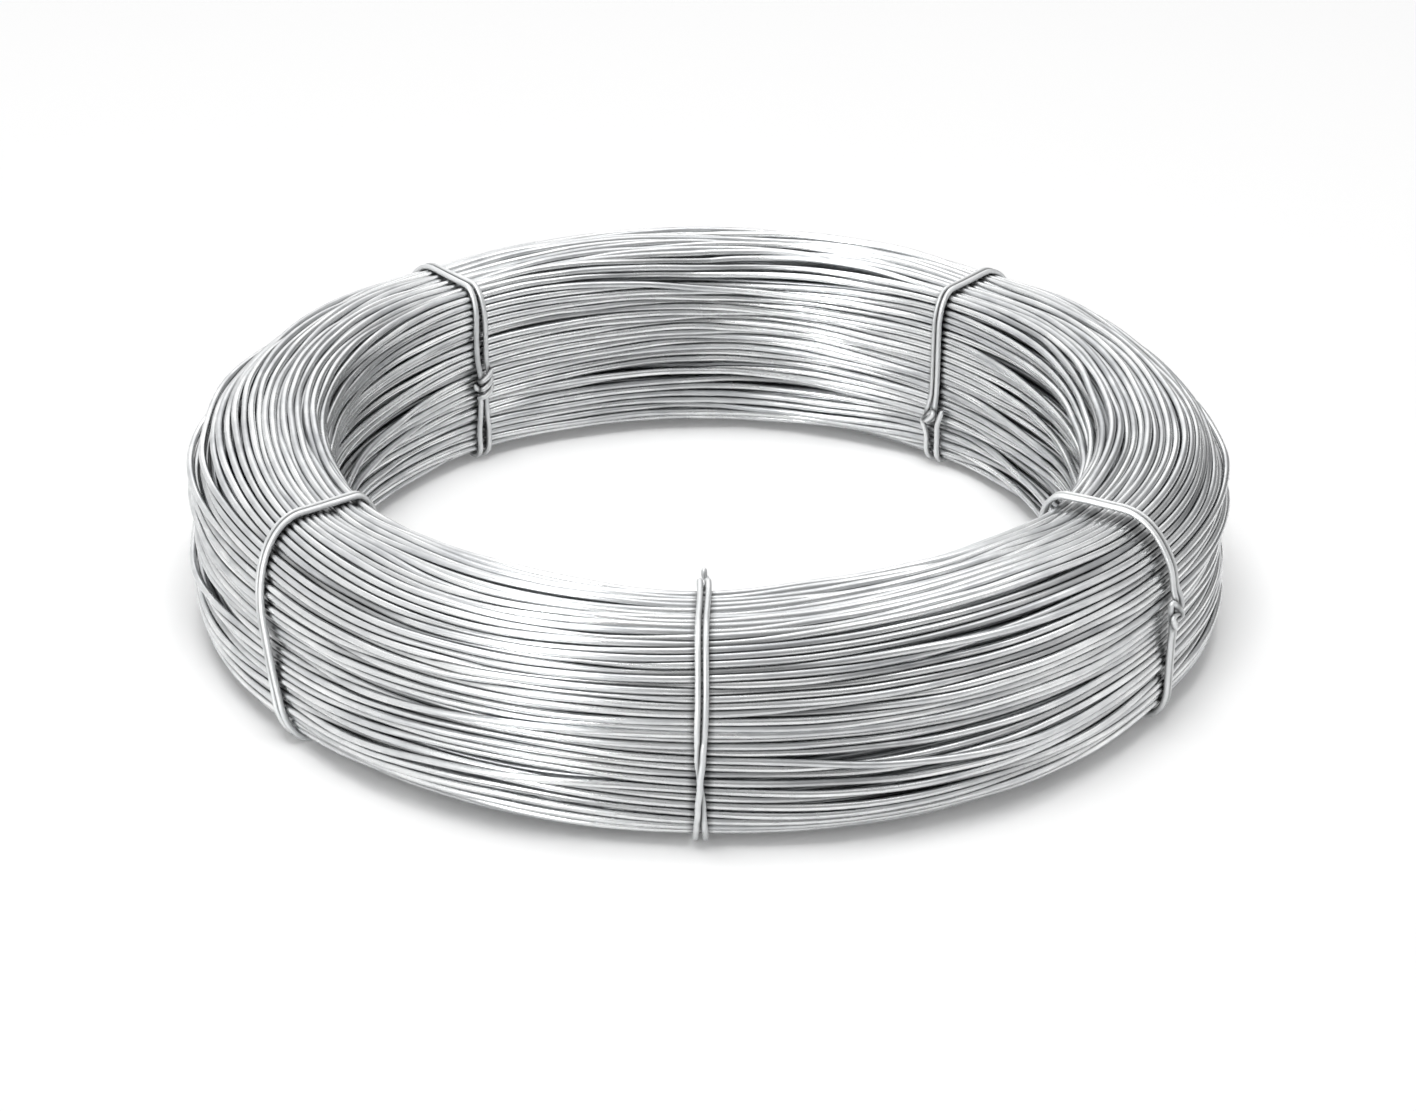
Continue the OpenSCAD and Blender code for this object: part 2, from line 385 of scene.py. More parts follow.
@dataclass
class Lay:
    """How the turns lie: one layer that shows over one that is only glimpsed, settled slice by slice.

    Attributes:
        section: the cut through the bundle.
        plans: the ties that hold the turns even.
        turns: turns in the layer that shows, a few more than fit side by side, so that some sit deeper.
        under_turns: turns in the layer under it, as many as fit.
        slices: slices round the coil.
        seed: start of the random numbers, so that every run lays the same coil.
        held: degrees on each side of a tie within which it holds the turns.
        freed: degrees further on over which the turns come free.
        part: how unevenly the slack falls between the turns away from a tie.
        tied_part: share of that unevenness that is left under a tie.
        part_waves: most waves of that unevenness round the coil.
        loose: how far neighbours part or close up where the slack is uneven.
        swell: how far the turns swell out between the ties.
        headroom: how far a turn may stand out past the swell.
        least_slack: share of the swell that is left on the underside.
        stray: how far single turns stand in or out.
        stray_waves: most waves of that round the coil.
        drift: how many places the turns slant to and fro along the coil.
        drift_waves: most waves of the slant, round the coil and round the section.
        under: depth of the layer under the one that shows.
        under_swell: share of the swell that the layer under takes.
        under_stray: how far single turns of the layer under stand in or out.
        under_waves: most waves of that round the coil.
        ripple: how far each turn trembles where it is free.
        ripple_waves: most waves of that round the coil.
        crossings: number of turns that ride over their neighbours, and back in another span.
        rider_step: places from one turn that may ride to the next.
        upright: how far along the radius a turn has to face to ride.
        ride_share: least and most share of a span that a ride takes.
        ride_margin: degrees that a ride keeps from the ties.
        rounds: rounds of settling.
        pushed: neighbours on one side that push a turn in a round.
        borne: turns of the layer under, on each side, that bear a turn in a round.
        pull: share of the way back to its own place that a turn takes in a round.
        ease: share of the way to the middle of its neighbours along the wire that it takes in a round.
        eases: rounds of easing each turn along its length at the end, since wire takes no kinks.
        last_ease: share of the way to that middle in such a round.
        bearings: bearing of each slice.
    """

    section: Section
    plans: tuple[TiePlan, ...]
    turns: int = 87
    under_turns: int = 68
    slices: int = 240
    seed: int = 14
    held: float = 1.0
    freed: float = 9.0
    part: float = 0.8
    tied_part: float = 0.25
    part_waves: int = 8
    loose: float = 0.3
    swell: float = 1.6
    headroom: float = 1.2
    least_slack: float = 0.1
    stray: float = 1.3
    stray_waves: int = 9
    drift: float = 0.8
    drift_waves: int = 4
    under: float = 4.3
    under_swell: float = 0.6
    under_stray: float = 0.3
    under_waves: int = 7
    ripple: float = 0.08
    ripple_waves: int = 34
    crossings: int = 14
    rider_step: int = 4
    upright: float = 0.8
    ride_share: tuple[float, float] = (0.62, 0.8)
    ride_margin: float = 5.0
    rounds: int = 140
    pushed: int = 4
    borne: int = 3
    pull: float = 0.05
    ease: float = 0.25
    eases: int = 6
    last_ease: float = 0.5
    bearings: np.ndarray = field(init=False)

    def __post_init__(self) -> None:
        """Space the slices evenly from the back."""
        self.bearings = -180 + 360 * np.arange(self.slices) / self.slices

    def wander(self, rng: np.random.Generator, rows: int, waves: int) -> np.ndarray:
        """Smooth random curves that close on themselves round the coil.

        Args:
            rng: source of random numbers.
            rows: number of curves.
            waves: most waves round the coil.

        Returns:
            One curve a column, one slice a row, with a spread of about 1.
        """
        turn = np.radians(self.bearings)[:, None]
        total = np.zeros((self.slices, rows))
        for wave in range(1, waves + 1):
            total += rng.normal(size=rows) * np.cos(wave * turn)
            total += rng.normal(size=rows) * np.sin(wave * turn)
        return total / math.sqrt(waves)

    def looseness(self, level: np.ndarray) -> np.ndarray:
        """How free a turn is, from 0 under a tie to 1 well away from every tie.

        Args:
            level: height of each turn above the coil's underside.

        Returns:
            One value for each slice and turn.
        """
        free = np.ones((self.slices, level.size))
        for plan in self.plans:
            shift = plan.lean * (0.5 - level / self.section.height)
            centre = plan.bearing + np.degrees(shift / self.section.outer_radius)
            away = np.abs(np.mod(self.bearings[:, None] - centre[None, :] + 180, 360) - 180)
            free *= 1 - np.exp(-((np.maximum(away - self.held, 0) / self.freed) ** 2))
        return free

    def ride_overs(self, rng: np.random.Generator, facing: np.ndarray) -> tuple[np.ndarray, np.ndarray]:
        """Places where a turn climbs over its neighbours, and back again in a later span.

        Args:
            rng: source of random numbers.
            facing: how far each turn faces along the radius, 1 on the outer wall and -1 in the bore.

        Returns:
            How many places each turn has moved, and how far it is lifted, for each slice and turn.
        """
        marks = np.sort([plan.bearing for plan in self.plans])
        spans = list(zip(marks, np.append(marks[1:], marks[0] + 360)))
        angle = np.mod(self.bearings - marks[0], 360) + marks[0]
        wire, rows = self.section.wire, np.arange(self.slices)
        moved = np.zeros((self.slices, self.turns))
        lifted = np.zeros((self.slices, self.turns))
        walls = [turn for turn in range(0, self.turns, self.rider_step) if abs(facing[turn]) > self.upright]
        seats = rng.permutation(walls)[: self.crossings]
        for turn in seats:
            jump = int(rng.integers(1, 3))
            first, second = sorted(rng.choice(len(spans), size=2, replace=False))
            away = np.zeros(self.slices)
            for sign, (low, high) in ((1, spans[first]), (-1, spans[second])):
                wide = (high - low) * rng.uniform(*self.ride_share)
                begin = rng.uniform(low + self.ride_margin, high - self.ride_margin - wide)
                share = np.clip((angle - begin) / wide, 0, 1)
                away += sign * share * share * (3 - 2 * share)
            # a turn runs on into the next one at the back, and its ride goes with it
            rider = (turn + (angle >= 180)) % self.turns
            moved[rows, rider] += jump * away
            for k in range(1, jump + 1):
                moved[rows, (rider + k) % self.turns] -= away
                apart = ((jump + 1) * away - k) * wire
                over = np.sqrt(np.maximum(wire**2 - apart**2, 0))
                lifted[rows, rider] = np.maximum(lifted[rows, rider], over)
        return moved, lifted

    def settle(self) -> tuple[np.ndarray, np.ndarray, np.ndarray]:
        """Lay both layers and let the turns push each other apart for some rounds, which leaves small cuts.

        Returns:
            Radius and height of each turn's centre in the layer that shows and in the one under it,
            and how far each turn that shows lies sunk between its neighbours, from 0 to 1, each for
            every slice and turn.
        """
        rng = np.random.default_rng(self.seed)
        wire = self.section.wire
        rim = self.section.rim(-wire / 2)
        even = rim.length * np.arange(self.turns) / self.turns
        moved, lifted = self.ride_overs(rng, rim.outward(even)[:, 0])
        spiral = np.arange(self.slices)[:, None] / self.slices
        slot = np.arange(self.turns)[None, :] + spiral + moved + self.slant(rng, self.turns)
        free = self.looseness(rim.at(even)[:, 1])
        share = self.tied_part + (1 - self.tied_part) * free
        uneven = np.exp(self.part * share * self.wander(rng, self.turns, self.part_waves))
        spare = rim.length - self.turns * wire
        gaps = wire + spare / self.turns + self.loose * (uneven / uneven.mean(axis=1, keepdims=True) - 1)
        place = np.cumsum(gaps, axis=1) - gaps
        place += (even[None, :] - place).mean(axis=1, keepdims=True)
        run = self.by_slot(place, slot, rim.length)
        stray = self.stray * self.wander(rng, self.turns, self.stray_waves)
        anchor, away = self.section.waisted(rim.at(run)), rim.outward(run)
        # the turns below carry the rest, so they bulge out the least
        slack = free * np.clip(1 + away[..., 1], self.least_slack, 1)
        depth = self.by_slot(stray, slot, 0.0)
        height = slack * (self.swell + np.maximum(depth, 0)) + np.minimum(depth, 0) + lifted
        target = anchor + height[..., None] * away
        limit = slack * (self.swell + self.headroom) + lifted
        below = self.lay_under(rng)
        shown = target.copy()
        near = self.nearest_under()
        for _ in range(self.rounds):
            for step in range(1, self.pushed + 1):
                push = self.overlap(shown, np.roll(shown, -step, axis=1), wire)
                shown -= 0.5 * push
                shown += 0.5 * np.roll(push, step, axis=1)
            for step in range(-self.borne, self.borne + 1):
                shown -= self.overlap(shown, below[:, (near + step) % self.under_turns], wire)
            shown += self.pull * (target - shown)
            shown += self.ease * (self.beside(shown) - shown)
            stand = ((shown - anchor) * away).sum(axis=-1)
            shown -= np.maximum(stand - limit, 0)[..., None] * away
        for _ in range(self.eases):
            shown += self.last_ease * (self.beside(shown) - shown)
        tremble = np.stack([self.wander(rng, self.turns, self.ripple_waves) for _ in (0, 1)], axis=-1)
        stand = ((shown - anchor) * away).sum(axis=-1)
        around = sum(np.roll(stand, step, axis=1) for step in (-2, -1, 1, 2)) / 4
        sunk = np.clip((around - stand) / wire, 0, 1)
        return shown + self.ripple * free[..., None] * tremble, below, sunk

    def slant(self, rng: np.random.Generator, turns: int) -> np.ndarray:
        """How far whole groups of turns slant from their even places.

        Args:
            rng: source of random numbers.
            turns: turns in the layer.

        Returns:
            A shift in places for each slice and turn, alike for neighbours and the same at both ends.
        """
        spread = np.arange(turns) / turns * 2 * np.pi
        total = np.zeros((self.slices, turns))
        for wave in range(1, self.drift_waves + 1):
            shift = self.wander(rng, 1, self.drift_waves)
            total += shift * np.cos(wave * spread + rng.uniform(0, 2 * np.pi))
        return self.drift * total / math.sqrt(2)

    def nearest_under(self) -> np.ndarray:
        """Number of the turn under each turn that shows."""
        return np.round(np.arange(self.turns) * self.under_turns / self.turns).astype(int)

    def lay_under(self, rng: np.random.Generator) -> np.ndarray:
        """Lay the turns under those that show.

        Args:
            rng: source of random numbers.

        Returns:
            Radius and height of each turn's centre, for every slice and turn.
        """
        rim = self.section.rim(-self.section.wire / 2 - self.under)
        spiral = np.arange(self.slices)[:, None] / self.slices
        slot = np.arange(self.under_turns)[None, :] + spiral - self.slant(rng, self.under_turns)
        run = rim.length * slot / self.under_turns
        free = self.looseness(rim.at(run[0])[:, 1])
        count = self.under_turns
        laps = np.arange(-count, 2 * count)
        waves = np.tile(self.wander(rng, count, self.under_waves), (1, 3))
        stray = np.stack([np.interp(slot[m], laps, waves[m]) for m in range(self.slices)])
        height = free * self.under_swell * self.swell + self.under_stray * stray
        return self.section.waisted(rim.at(run)) + height[..., None] * rim.outward(run)

    def by_slot(self, table: np.ndarray, slot: np.ndarray, period: float) -> np.ndarray:
        """Read a table of places at fractional places, round and round.

        Args:
            table: one value for each slice and place.
            slot: fractional place of each turn, for each slice.
            period: what the value grows by once round the section.

        Returns:
            The values at those places.
        """
        laps = np.arange(-self.turns, 2 * self.turns)
        wide = np.concatenate([table - period, table, table + period], axis=1)
        return np.stack([np.interp(slot[m], laps, wide[m]) for m in range(self.slices)])

    @staticmethod
    def overlap(a: np.ndarray, b: np.ndarray, wire: float) -> np.ndarray:
        """How far each wire of a cuts the matching wire of b, as a move from a to b.

        Args:
            a: centres of the first wires.
            b: centres of the second wires.
            wire: distance at which they just touch.

        Returns:
            The overlap along the line between the centres, zero where they are clear.
        """
        gap = b - a
        far = np.maximum(np.linalg.norm(gap, axis=-1, keepdims=True), TINY)
        return gap / far * np.maximum(wire - far, 0)

    @staticmethod
    def beside(place: np.ndarray) -> np.ndarray:
        """Mean of the two neighbours along the wire, where each turn runs on into the next.

        Args:
            place: centres for every slice and turn.

        Returns:
            The mean of the centres before and after each one.
        """
        after = np.concatenate([place[1:], np.roll(place[:1], -1, axis=1)])
        before = np.concatenate([np.roll(place[-1:], 1, axis=1), place[:-1]])
        return (after + before) / 2


@dataclass(frozen=True)
class ZincFinish:
    """Drawn steel wire, hot-dip galvanised: the zinc freezes as a bright grey skin with faint draw lines.

    Attributes:
        name: the material's name.
        bright: clean zinc.
        dull: zinc that has begun to dull.
        smooth: roughness of the clean zinc.
        rough: roughness of the dulled zinc.
        draw_line: width of a draw line, in millimetres.
        draw_run: length of a draw line, in millimetres.
        stretch: length over which a wire keeps one tone, in millimetres.
        patch: length of a zinc patch along the wire, in millimetres.
        relief: height of the draw lines, in millimetres.
        girth: way round the wire, in millimetres.
        painted_shade: how far the skin is painted darker as shade where wires touch or lie shut in.
        painted_shade_colour: colour of that painted shade.
        patch_span: noise from which a patch begins to dull, and at which it is dull.
        patch_dull: how far a patch dulls.
        stretch_span: noise from which a stretch begins to dull, and at which it is dull.
        stretch_dull: how far a stretch stays cleaner, and how far it dulls.
        turn_dull: how far the tone of its turn dulls a wire.
        streak: how far the draw lines change the tone.
        bump: strength of the draw lines' relief.
    """

    name: str
    bright: str
    dull: str
    smooth: float
    rough: float
    draw_line: float = 0.55
    draw_run: float = 45.0
    stretch: float = 80.0
    patch: float = 16.0
    relief: float = 0.05
    girth: float = 9.9
    painted_shade: float = 0.85
    painted_shade_colour: str = "#212223"
    patch_span: tuple[float, float] = (0.36, 0.7)
    patch_dull: float = 0.45
    stretch_span: tuple[float, float] = (0.34, 0.68)
    stretch_dull: tuple[float, float] = (-0.15, 0.5)
    turn_dull: float = 0.3
    streak: float = 0.5
    bump: float = 0.6

    def make(self) -> bpy.types.Material:
        """Build the material.

        Returns:
            The material with its nodes.
        """
        material = bpy.data.materials.new(self.name)
        material.use_nodes = True
        tree = material.node_tree
        tree.nodes.clear()
        along = add_node(tree, "ShaderNodeUVMap", {"uv_map": "along"})
        turn = add_node(tree, "ShaderNodeAttribute", {"attribute_name": "turn_tone"})
        parts = add_node(tree, "ShaderNodeSeparateXYZ", None, {0: along.outputs["UV"]})
        # u runs in metres along the wire and v once round it, so both are turned into draw lines; real draw
        # lines are about 0.05 mm wide, too fine to show, so they are drawn some ten times as coarse
        lengthwise = add_node(tree, "ShaderNodeMath", {"operation": "MULTIPLY", 1: 1 / (self.draw_run * MM)},
                              {0: parts.outputs["X"]})
        around = add_node(tree, "ShaderNodeMath", {"operation": "MULTIPLY", 1: self.girth / self.draw_line},
                          {0: parts.outputs["Y"]})
        line_place = add_node(tree, "ShaderNodeCombineXYZ", None,
                              {0: lengthwise.outputs[0], 1: around.outputs[0]})
        lines = add_node(tree, "ShaderNodeTexNoise", {"Scale": 1.0, "Detail": 3.0, "Roughness": 0.6},
                         {"Vector": line_place.outputs[0]})
        # patches wrap a part of the way round the wire, and stretches the whole of it
        patch_run = add_node(tree, "ShaderNodeMath", {"operation": "MULTIPLY", 1: 1 / (self.patch * MM)},
                             {0: parts.outputs["X"]})
        patch_place = add_node(tree, "ShaderNodeCombineXYZ", None,
                               {0: patch_run.outputs[0], 1: parts.outputs["Y"]})
        patches = add_node(tree, "ShaderNodeTexNoise", {"Scale": 1.0, "Detail": 2.0, "Roughness": 0.6},
                           {"Vector": patch_place.outputs[0]})
        stretch_run = add_node(tree, "ShaderNodeMath", {"operation": "MULTIPLY", 1: 1 / (self.stretch * MM)},
                               {0: parts.outputs["X"]})
        stretch_place = add_node(tree, "ShaderNodeCombineXYZ", None, {0: stretch_run.outputs[0]})
        stretches = add_node(tree, "ShaderNodeTexNoise", {"Scale": 1.0, "Detail": 1.0, "Roughness": 0.5},
                             {"Vector": stretch_place.outputs[0]})
        low, high = self.patch_span
        pale = add_node(tree, "ShaderNodeMapRange", {1: low, 2: high, 3: 0.0, 4: self.patch_dull},
                        {0: patches.outputs["Fac"]})
        low, high = self.stretch_span
        clean, dull = self.stretch_dull
        along_tone = add_node(tree, "ShaderNodeMapRange", {1: low, 2: high, 3: clean, 4: dull},
                              {0: stretches.outputs["Fac"]})
        clouded = add_node(tree, "ShaderNodeMath", {"operation": "ADD"},
                           {0: pale.outputs[0], 1: along_tone.outputs[0]})
        tone = add_node(tree, "ShaderNodeMath", {"operation": "MULTIPLY_ADD", 1: self.turn_dull},
                        {0: turn.outputs["Fac"], 2: clouded.outputs[0]})
        streak = add_node(tree, "ShaderNodeMath",
                          {"operation": "MULTIPLY_ADD", 1: self.streak, 2: -self.streak / 2},
                          {0: lines.outputs["Fac"]})
        worn = add_node(tree, "ShaderNodeMath", {"operation": "ADD", "use_clamp": True},
                        {0: tone.outputs[0], 1: streak.outputs[0]})
        colour = add_node(tree, "ShaderNodeMix",
                          {"data_type": "RGBA", 6: to_linear(self.bright), 7: to_linear(self.dull)},
                          {0: worn.outputs[0]})
        # painted shade: the crevice attribute mixes the colour towards a dark grey where wires touch, where a
        # turn lies sunk and at the ties
        crevice = add_node(tree, "ShaderNodeAttribute", {"attribute_name": "crevice"})
        painted_shade = add_node(tree, "ShaderNodeMath", {"operation": "MULTIPLY", 1: self.painted_shade},
                         {0: crevice.outputs["Fac"]})
        shaded = add_node(tree, "ShaderNodeMix", {"data_type": "RGBA", 7: to_linear(self.painted_shade_colour)},
                          {0: painted_shade.outputs[0], 6: colour.outputs[2]})
        gloss = add_node(tree, "ShaderNodeMapRange", {1: 0.0, 2: 1.0, 3: self.smooth, 4: self.rough},
                         {0: worn.outputs[0]})
        bump = add_node(tree, "ShaderNodeBump", {"Strength": self.bump, "Distance": self.relief * MM},
                        {"Height": lines.outputs["Fac"]})
        shader = add_node(tree, "ShaderNodeBsdfPrincipled", {"Metallic": 1.0},
                          {"Base Color": shaded.outputs[2], "Roughness": gloss.outputs[0],
                           "Normal": bump.outputs[0]})
        add_node(tree, "ShaderNodeOutputMaterial", None, {0: shader.outputs[0]})
        return material


# bright zinc pulled through a die: a narrow clean highlight along each turn, with faint lines in it
WIRE_ZINC = ZincFinish("galvanised_drawn_wire", "#f7f8f8", "#bcbec0", 0.19, 0.38)
# the same wire deeper in the bundle, rougher and painted a darker grey as shade where light hardly reaches: a
# quiet grey behind the bright turns
UNDER_ZINC = ZincFinish("galvanised_wire_in_shade", "#c8cacc", "#a2a4a6", 0.34, 0.5)
# soft wire dipped after annealing: a pale satin line that stands off the bright turns
TIE_ZINC = ZincFinish("galvanised_annealed_tie_wire", "#ebecec", "#ced0d1", 0.5, 0.6, girth=7.85)


@dataclass(frozen=True)
class Skin:
    """Plain mesh data with a running length along the wire and a tone for each turn.

    Attributes:
        points: corners.
        faces: quads.
        along: running length and turn round the wire at each face corner.
        tone: tone at each corner.
        crevice: painted shade at each corner, 1 where two wires touch, also where a turn lies sunk and at the
            ties.
    """

    points: np.ndarray
    faces: np.ndarray
    along: np.ndarray
    tone: np.ndarray
    crevice: np.ndarray

    def build(self, name: str, material: bpy.types.Material) -> bpy.types.Object:
        """Make an object of the skin.

        Args:
            name: the piece's name.
            material: its finish.

        Returns:
            The object, linked to the scene.
        """
        mesh = bpy.data.meshes.new(name)
        mesh.vertices.add(len(self.points))
        mesh.vertices.foreach_set("co", self.points.astype(np.float32).ravel())
        mesh.loops.add(self.faces.size)
        mesh.loops.foreach_set("vertex_index", self.faces.astype(np.int32).ravel())
        mesh.polygons.add(len(self.faces))
        mesh.polygons.foreach_set("loop_start", np.arange(0, self.faces.size, 4, dtype=np.int32))
        layer = mesh.uv_layers.new(name="along")
        layer.data.foreach_set("uv", self.along.astype(np.float32).ravel())
        for title, values in (("turn_tone", self.tone), ("crevice", self.crevice)):
            layer = mesh.attributes.new(title, "FLOAT", "POINT")
            layer.data.foreach_set("value", values.astype(np.float32).ravel())
        mesh.update(calc_edges=True)
        mesh.shade_smooth()
        self.weld(mesh)
        mesh.materials.append(material)
        piece = bpy.data.objects.new(name, mesh)
        bpy.context.scene.collection.objects.link(piece)
        return piece

    @staticmethod
    def weld(mesh: bpy.types.Mesh) -> None:
        """Join turns where one runs on into the next, and close the ends that stay open.

        Args:
            mesh: the mesh to change.
        """
        work = bmesh.new()
        work.from_mesh(mesh)
        bmesh.ops.remove_doubles(work, verts=work.verts, dist=WELD * MM)
        open_ends = [edge for edge in work.edges if edge.is_boundary]
        bmesh.ops.holes_fill(work, edges=open_ends, sides=0)
        # the wire runs on in the next zone, so its cap must not round off the light at the joint
        for edge in open_ends:
            edge.smooth = False
        bmesh.ops.recalc_face_normals(work, faces=work.faces)
        work.to_mesh(mesh)
        work.free()


def wire_skin(rings: np.ndarray, run: np.ndarray, tone: np.ndarray, crevice: np.ndarray) -> Skin:
    """Skin wires given by their rings.

    Args:
        rings: corners as wire, ring, side and coordinate.
        run: running length of each ring, as wire and ring.
        tone: tone as wire and ring.
        crevice: painted shade from the nearness of the next wire, as wire, ring and side.

    Returns:
        The skin, with open ends.
    """
    wires, count, sides, _ = rings.shape
    base = np.arange(wires)[:, None, None] * count * sides
    ring = np.arange(count - 1)[None, :, None] * sides
    side = np.arange(sides)[None, None, :]
    after = (side + 1) % sides
    quads = np.stack([base + ring + side, base + ring + after,
                      base + ring + sides + after, base + ring + sides + side], axis=-1)
    low = np.broadcast_to(run[:, :-1, None], quads.shape[:3])
    high = np.broadcast_to(run[:, 1:, None], quads.shape[:3])
    one = np.broadcast_to(side / sides, quads.shape[:3])
    two = np.broadcast_to((side + 1) / sides, quads.shape[:3])
    along = np.stack([np.stack([low, one], -1), np.stack([low, two], -1),
                      np.stack([high, two], -1), np.stack([high, one], -1)], axis=-2)
    shade = np.repeat(tone.ravel(), sides)
    return Skin(rings.reshape(-1, 3), quads.reshape(-1, 4), along.reshape(-1, 2), shade, crevice.ravel())


@dataclass
class WireBundle:
    """The wound wire: the turns that show, in zones, and the turns under them.

    Attributes:
        section: the cut through the bundle.
        lay: how the turns lie.
        sides: sides of a turn that shows.
        under_sides: sides of a turn under it.
        crevice_reach: how near a neighbour has to be to shade the skin, in radii of the wire.
        crevice_power: how closely that shade gathers where the wires touch.
        sunk_shade: shade of a turn that lies sunk between its neighbours.
        top_shade: share of the shade that is left on the top.
        bore_shade: share of the shade that is left in the bore.
        tie_half: half the width of a tie.
        tie_reach: how far a tie shades the turns beside it.
        tie_step: degrees between the closer rings at a tie.
        tie_shade: shade under a tie.
        foot: height up to which turns belong to the underside.
        bore_depth: how far from the bore's wall its turns lie at most.
        wall_depth: how far from the outer wall its turns lie at most.
        shoulder_level: height from which turns of the outer wall belong to its shoulder.
        pieces: the meshes, once they are made.
    """

    section: Section
    lay: Lay
    sides: int = 10
    under_sides: int = 5
    crevice_reach: float = 0.6
    crevice_power: float = 1.5
    sunk_shade: float = 0.95
    top_shade: float = 0.48
    bore_shade: float = 0.66
    tie_half: float = 2.7
    tie_reach: float = 2.6
    tie_step: float = 0.32
    tie_shade: float = 0.78
    foot: float = 5.0
    bore_depth: float = 5.0
    wall_depth: float = 20.0
    shoulder_level: float = 46.0
    pieces: list[bpy.types.Object] = field(default_factory=list)

    def marks(self) -> np.ndarray:
        """Bearings of the rings from the back round to the back: one a slice, and closer ones at each tie.

        Returns:
            The bearings in rising order, with the back at both ends.
        """
        found = [np.append(self.lay.bearings, 180.0)]
        for plan in self.lay.plans:
            reach = abs(plan.lean) / 2 + self.tie_half + self.tie_reach
            wide = math.degrees(reach / self.section.bore_radius)
            found.append(np.arange(plan.bearing - wide, plan.bearing + wide, self.tie_step))
        return np.unique(np.round(np.concatenate(found), 3))

    def at_marks(self, values: np.ndarray, marks: np.ndarray) -> np.ndarray:
        """Values at the bearings of the rings, each turn ending where the next one begins.

        Args:
            values: values for every slice and turn.
            marks: bearings of the rings.

        Returns:
            Values as turn and ring, with any further axes kept.
        """
        closed = np.concatenate([values, np.roll(values[:1], -1, axis=1)])
        place = (marks + 180) / 360 * self.lay.slices
        low = np.minimum(place.astype(int), self.lay.slices - 1)
        share = (place - low).reshape(-1, *(1,) * (values.ndim - 1))
        return np.swapaxes(closed[low] * (1 - share) + closed[low + 1] * share, 0, 1)

    def rings(
        self, place: np.ndarray, marks: np.ndarray, sides: int, radius: float
    ) -> tuple[np.ndarray, np.ndarray]:
        """Rings of the turns, each turn ending on the first ring of the next.

        Args:
            place: radius and height for every slice and turn.
            marks: bearings of the rings.
            sides: sides of a ring.
            radius: radius of the wire.

        Returns:
            Corners as turn, ring, side and coordinate in metres, and running lengths along the whole
            wire in metres.
        """
        closed = self.at_marks(place, marks)
        bearing = np.radians(marks)
        out = np.stack([np.sin(bearing), -np.cos(bearing), np.zeros_like(bearing)], axis=1)
        up = np.array([0.0, 0.0, 1.0])
        centre = closed[..., :1] * out[None] + (closed[..., 1:] + self.section.lift) * up
        turn = 2 * np.pi * np.arange(sides) / sides
        spoke = np.cos(turn)[None, :, None] * out[:, None, :] + np.sin(turn)[None, :, None] * up
        step = np.linalg.norm(np.diff(centre, axis=1), axis=-1)
        run = np.concatenate([np.zeros((len(step), 1)), np.cumsum(step, axis=1)], axis=1)
        run[1:] += np.cumsum(run[:-1, -1])[:, None]
        return (centre[:, :, None, :] + radius * spoke[None]) * MM, run * MM

    @staticmethod
    def tones(rng: np.random.Generator, turns: int, marks: np.ndarray) -> np.ndarray:
        """A tone for each turn that passes evenly into the tone of the next.

        Args:
            rng: source of random numbers.
            turns: number of turns.
            marks: bearings of the rings.

        Returns:
            Tones from 0 to 1 as turn and ring.
        """
        tone = rng.uniform(0, 1, turns)
        share = (marks + 180) / 360
        return tone[:, None] * (1 - share) + np.roll(tone, -1)[:, None] * share

    def beside_ties(self, place: np.ndarray, marks: np.ndarray) -> np.ndarray:
        """How near a tie is, all along the turns.

        Args:
            place: radius and height for every slice and turn.
            marks: bearings of the rings.

        Returns:
            Shade as turn and ring: full under a tie, 0 where none is near.
        """
        seat = self.at_marks(place, marks)
        near = np.zeros(seat.shape[:2])
        for plan in self.lay.plans:
            aside = plan.lean * (0.5 - seat[..., 1] / self.section.height)
            away = np.abs(np.radians(marks - plan.bearing) * seat[..., 0] - aside)
            near = np.maximum(near, np.clip(1 - (away - self.tie_half) / self.tie_reach, 0, 1))
        return self.tie_shade * near

    def crevices(
        self, place: np.ndarray, others: list[np.ndarray], sunk: np.ndarray, marks: np.ndarray, sides: int
    ) -> np.ndarray:
        """Painted shade all over the turns, from how shut in the skin is.

        Args:
            place: radius and height for every slice and turn.
            others: centres of neighbours, each set with the same shape as place.
            sunk: how far each turn lies sunk between its neighbours, for every slice and turn.
            marks: bearings of the rings.
            sides: sides of a ring.

        Returns:
            Values as turn, ring and side: 1 where two wires touch, 0 where nothing is near.
        """
        turn = 2 * np.pi * np.arange(sides) / sides
        radius = self.section.wire / 2
        spoke = radius * np.stack([np.cos(turn), np.sin(turn)], axis=-1)
        skin = place[:, :, None, :] + spoke
        clear = np.full(skin.shape[:3], np.inf)
        for other in others:
            clear = np.minimum(clear, np.linalg.norm(skin - other[:, :, None, :], axis=-1) - radius)
        near = np.clip(1 - clear / (self.crevice_reach * radius), 0, 1) ** self.crevice_power
        near = np.maximum(near, self.sunk_shade * sunk[:, :, None])
        return self.at_marks(near, marks)

    def zone_of(self, place: np.ndarray) -> list[Zone]:
        """Zone of each turn, from where it lies on average.

        Args:
            place: radius and height for every slice and turn.

        Returns:
            One zone for each turn.
        """
        radius, level = place[..., 0].mean(axis=0), place[..., 1].mean(axis=0)
        cut = self.section
        zones = []
        for r, z in zip(radius, level):
            if z < self.foot:
                zones.append(Zone.UNDERSIDE)
            elif r < cut.bore_radius + self.bore_depth:
                zones.append(Zone.BORE)
            elif r < cut.outer_radius - self.wall_depth:
                zones.append(Zone.TOP)
            else:
                zones.append(Zone.SHOULDER if z > self.shoulder_level else Zone.OUTER)
        return zones

